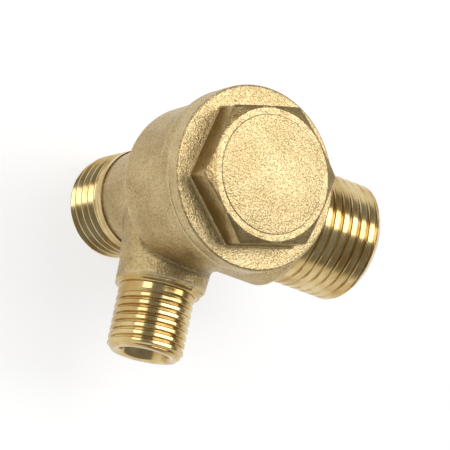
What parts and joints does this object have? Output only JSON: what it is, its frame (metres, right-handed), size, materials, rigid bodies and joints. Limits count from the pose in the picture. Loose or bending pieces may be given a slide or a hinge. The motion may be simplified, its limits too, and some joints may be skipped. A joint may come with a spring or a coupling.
{
  "type": "non-return valve",
  "caption": "Brass non-return valve with male threaded inlet, tank and unloader ports, and a hexagon screw cap over its sprung poppet.",
  "frame": {"origin": "centre of the inlet port's end face, on the axis of the barrel", "axes": "+Z along the barrel from the inlet port to the cap, +X out of the tank port, -Y out of the unloader port"},
  "size_m": [0.0474, 0.0447, 0.051],
  "materials": {
    "cast_brass": "shot-blasted casting, turned on the ports",
    "cap_brass": "shot-blasted, with turned rims",
    "turned_brass": "turned",
    "nitrile_rubber": "matt",
    "spring_wire": "drawn stainless wire"
  },
  "bodies": {
    "valve": {"valve_body": "cast_brass", "cap": "cap_brass", "cap_o_ring": "nitrile_rubber", "return_spring": "spring_wire"},
    "poppet": {"poppet": "turned_brass", "poppet_seal": "nitrile_rubber"}
  },
  "joints": [
    {"name": "poppet_lift", "type": "slide", "parent": "valve", "child": "poppet", "axis": [0, 0, 1], "range_m": [0, 0.004], "stiffness_N_per_m": 300, "springref_m": -0.004, "deforming": ["return_spring"]}
  ]
}
